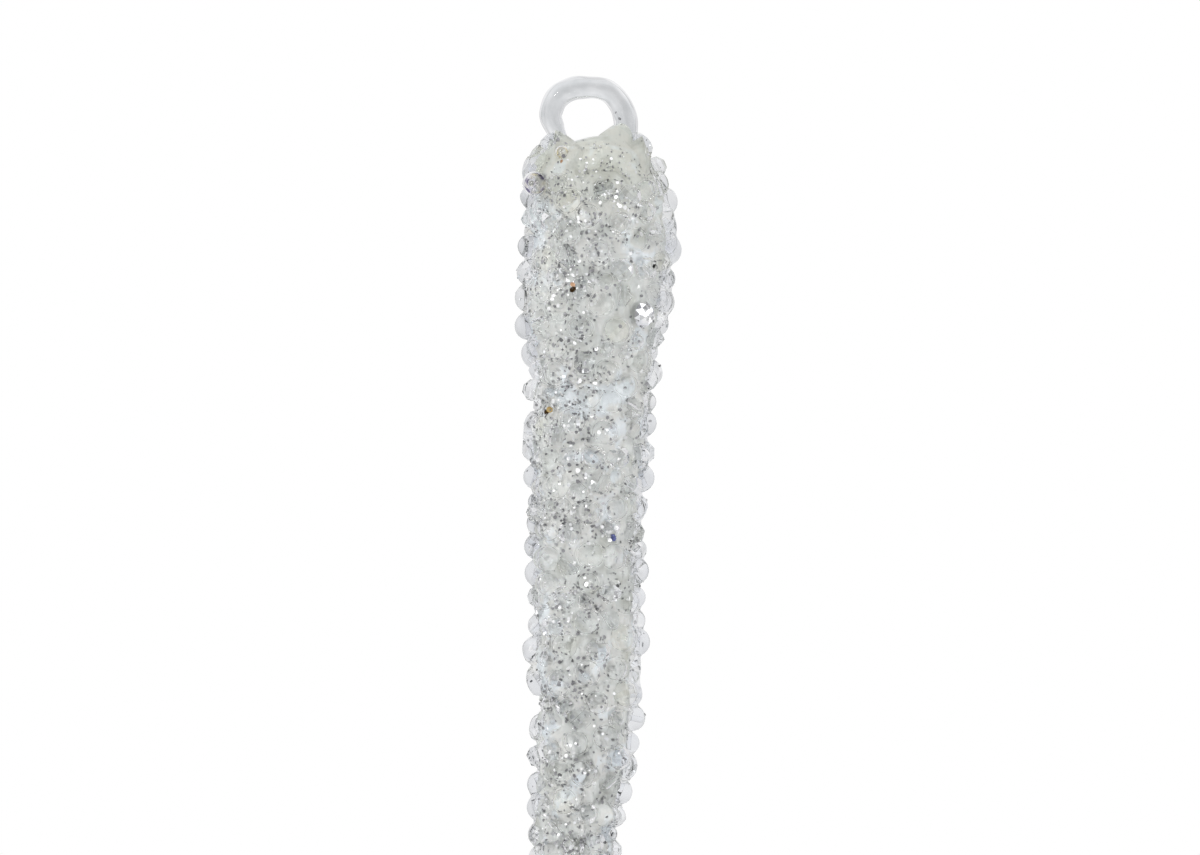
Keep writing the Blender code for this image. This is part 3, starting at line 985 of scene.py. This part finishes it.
def flake_matrix(place, face_normal, size, lean):
    """A flake just proud of a surface, tilted and narrowed at random."""
    tilt = Vector((random.gauss(0, 1), random.gauss(0, 1), random.gauss(0, 1))) * lean
    facing = (face_normal + tilt).normalized()
    turn = facing.to_track_quat("Z", "Y") @ Quaternion((0, 0, 1), random.uniform(0, FLAKE_SPIN))
    where = place + face_normal * FLAKE_STAND_OFF
    width = size * random.uniform(FLAKE_NARROWEST, 1.0)
    return Matrix.Translation(where) @ turn.to_matrix().to_4x4() @ Matrix.Diagonal((size, width, 1, 1))


def nearest_hit(targets, start, direction):
    """Place and normal where a ray first meets one of the pieces, or nothing."""
    hits = [piece.ray_cast(start, direction, distance=RAY_LENGTH) for piece in targets]
    hits = [(place, normal) for hit, place, normal, _ in hits if hit]
    return min(hits, key=lambda hit: (hit[0] - start).length, default=None)


def flake_chance(foot, turn, on_top):
    """How likely a flake is to stay at a place, either on top or in the coat: most in the drifts."""
    seen = BODY @ foot
    nearness = [((seen.x - x) ** 2 + (seen.z - z) ** 2) / (2 * radius**2) for x, z, radius in DRIFTS]
    chance = FLAKE_CHANCE + lumps(foot, FLAKE_PATCHES) + DRIFT_CHANCE * math.exp(-min(nearness))
    sideways = math.cos(turn) ** 4
    return chance * (1 - BARE_SIDES_ON_TOP * sideways) if on_top else chance + EXTRA_SIDES_IN_COAT * sideways


def flake_size(name, depth):
    """A random size, as a share of FLAKE_RADIUS, smaller near the crown."""
    spread = BRIGHT_SPREAD if name == "glitter_bright" else FLAKE_SPREAD
    size = FLAKE_LEAST + spread * random.random() ** FLAKE_SIZE_POWER
    return size * min(CROWN_FLAKE_SIZE + depth / CROWN_FLAKE_FADE, 1)


def strewn_flakes(on_top_of, coat):
    """Matrices of each kind of flake, strewn on the coat and on the pieces on top of it."""
    sample = depth_sampler()
    matrices = {name: [] for name in FLAKE_SHARES}
    placed = 0
    while placed < FLAKE_COUNT:
        depth = sample(random.random())
        turn = random.uniform(0, 2 * math.pi)
        foot, normal = surface_frame(depth, turn)
        on_top = random.random() < FLAKES_ON_TOP
        if flake_chance(foot, turn, on_top) < random.random():
            continue
        inward = (BODY.to_3x3() @ -normal).normalized()
        start = BODY @ (foot + normal * FLAKE_RAY_START)
        hit = nearest_hit(on_top_of if on_top else [coat], start, inward)
        if hit is None:
            continue
        placed += 1
        name = random.choices(list(FLAKE_SHARES), list(FLAKE_SHARES.values()))[0]
        matrices[name].append(flake_matrix(*hit, flake_size(name, depth), FLAKE_LEAN))
    return matrices


def make_glitter(coat, skin, bead_pieces, loop):
    """Flakes lie in drifts, some deep in the glue and some on top, where they also stick to the beads."""
    matrices = strewn_flakes([skin, *bead_pieces], coat)
    away = Vector((0, 1, 0))
    for x, z, size, name in NAMED_FLAKES:
        start = Vector((x, -NAMED_RAY_START, z))
        place, _ = nearest_hit([skin, coat, loop, *bead_pieces, *cad_crystals()], start, away)
        matrices.setdefault(name, []).append(flake_matrix(place, -away, size, NAMED_FLAKE_LEAN))
    for name, places in matrices.items():
        piece = joined(name, hexagon_flake(), places, flake_material(name), False)
        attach(piece, "root")


# The set


def make_world():
    """A white page to the camera, a soft grey room through glass and on matt surfaces, and a room of dark
    and bright patches for what glitters."""
    world = bpy.data.worlds.new("studio")
    bpy.context.scene.world = world
    world.use_nodes = True
    nodes = world.node_tree.nodes
    links = world.node_tree.links
    nodes.clear()
    direction = nodes.new("ShaderNodeTexCoord").outputs["Generated"]

    def room(scale, stops):
        patches = noise_node(nodes, links, direction, scale, 2.0)
        tinted = [(place, tuple(level * tint for tint in ROOM_TINT)) for place, level in stops]
        light = ramp_node(nodes, links, patches.outputs["Fac"], tinted)
        shader = nodes.new("ShaderNodeBackground")
        links.new(light.outputs["Color"], shader.inputs["Color"])
        return shader.outputs["Background"]

    def choose(factor, otherwise, chosen):
        mix = nodes.new("ShaderNodeMixShader")
        links.new(factor, mix.inputs["Fac"])
        links.new(otherwise, mix.inputs[1])
        links.new(chosen, mix.inputs[2])
        return mix.outputs["Shader"]

    path = nodes.new("ShaderNodeLightPath")
    soft = room(*SOFT_ROOM)
    contrast = room(*CONTRAST_ROOM)
    white = nodes.new("ShaderNodeBackground")
    white.inputs["Color"].default_value = (1, 1, 1, 1)
    lit = choose(path.outputs["Is Glossy Ray"], soft, contrast)
    lit = choose(path.outputs["Is Transmission Ray"], lit, soft)
    lit = choose(path.outputs["Is Singular Ray"], lit, soft)
    lit = choose(path.outputs["Is Camera Ray"], lit, white.outputs["Background"])
    out = nodes.new("ShaderNodeOutputWorld")
    links.new(lit, out.inputs["Surface"])


def area_light(name, place, size, radiance):
    """A rectangular light of a stated radiance, so that its size doesn't change how bright it looks."""
    width, height = size
    data = bpy.data.lights.new(name, "AREA")
    data.shape = "RECTANGLE"
    data.size = width
    data.size_y = height
    data.energy = radiance * math.pi * width * height
    light = link(bpy.data.objects.new(name, data))
    light.location = place
    light.rotation_euler = (LIGHT_AIM - Vector(place)).to_track_quat("-Z", "Y").to_euler()


def make_floor():
    """A round pale floor below the tip, mottled a little."""
    material, nodes, links, shader = new_material("pale_floor")
    mottle = noise_node(nodes, links, object_place(nodes), 6.0)
    tone = ramp_node(nodes, links, mottle.outputs["Fac"], FLOOR_SHADES)
    links.new(tone.outputs["Color"], shader.inputs["Base Color"])
    shader.inputs["Roughness"].default_value = 0.8
    turns = [2 * math.pi * corner / FLOOR_CORNERS for corner in range(FLOOR_CORNERS)]
    verts = [(0, 0, FLOOR_HEIGHT)]
    verts += [(FLOOR_RADIUS * math.cos(turn), FLOOR_RADIUS * math.sin(turn), FLOOR_HEIGHT) for turn in turns]
    faces = [(0, corner + 1, (corner + 1) % FLOOR_CORNERS + 1) for corner in range(FLOOR_CORNERS)]
    floor = mesh_object("floor", verts, faces, material, False)


def make_camera():
    data = bpy.data.cameras.new("camera")
    data.lens = LENS_MM
    data.sensor_width = SENSOR_MM
    data.clip_start = 0.01
    camera = link(bpy.data.objects.new("camera", data))
    camera.location = VIEW_CENTRE + Vector((0, -VIEW_WIDTH * LENS_MM / SENSOR_MM, 0))
    camera.rotation_euler = (math.radians(90), 0, 0)
    bpy.context.scene.camera = camera


make_camera()
make_world()
make_floor()
for light_row in LIGHTS:
    area_light(*light_row)
bpy.context.scene.view_settings.view_transform = "Standard"

beads = pack_beads()
bead_pieces = make_beads(beads)
coat = make_coat(beads)
skin = make_skin(beads)
loop = make_loop()
bpy.context.view_layer.update()
make_glitter(coat, skin, bead_pieces, loop)

core = bpy.data.objects["icicle_core"]
core.material_slots[0].material = glass("core_plastic")
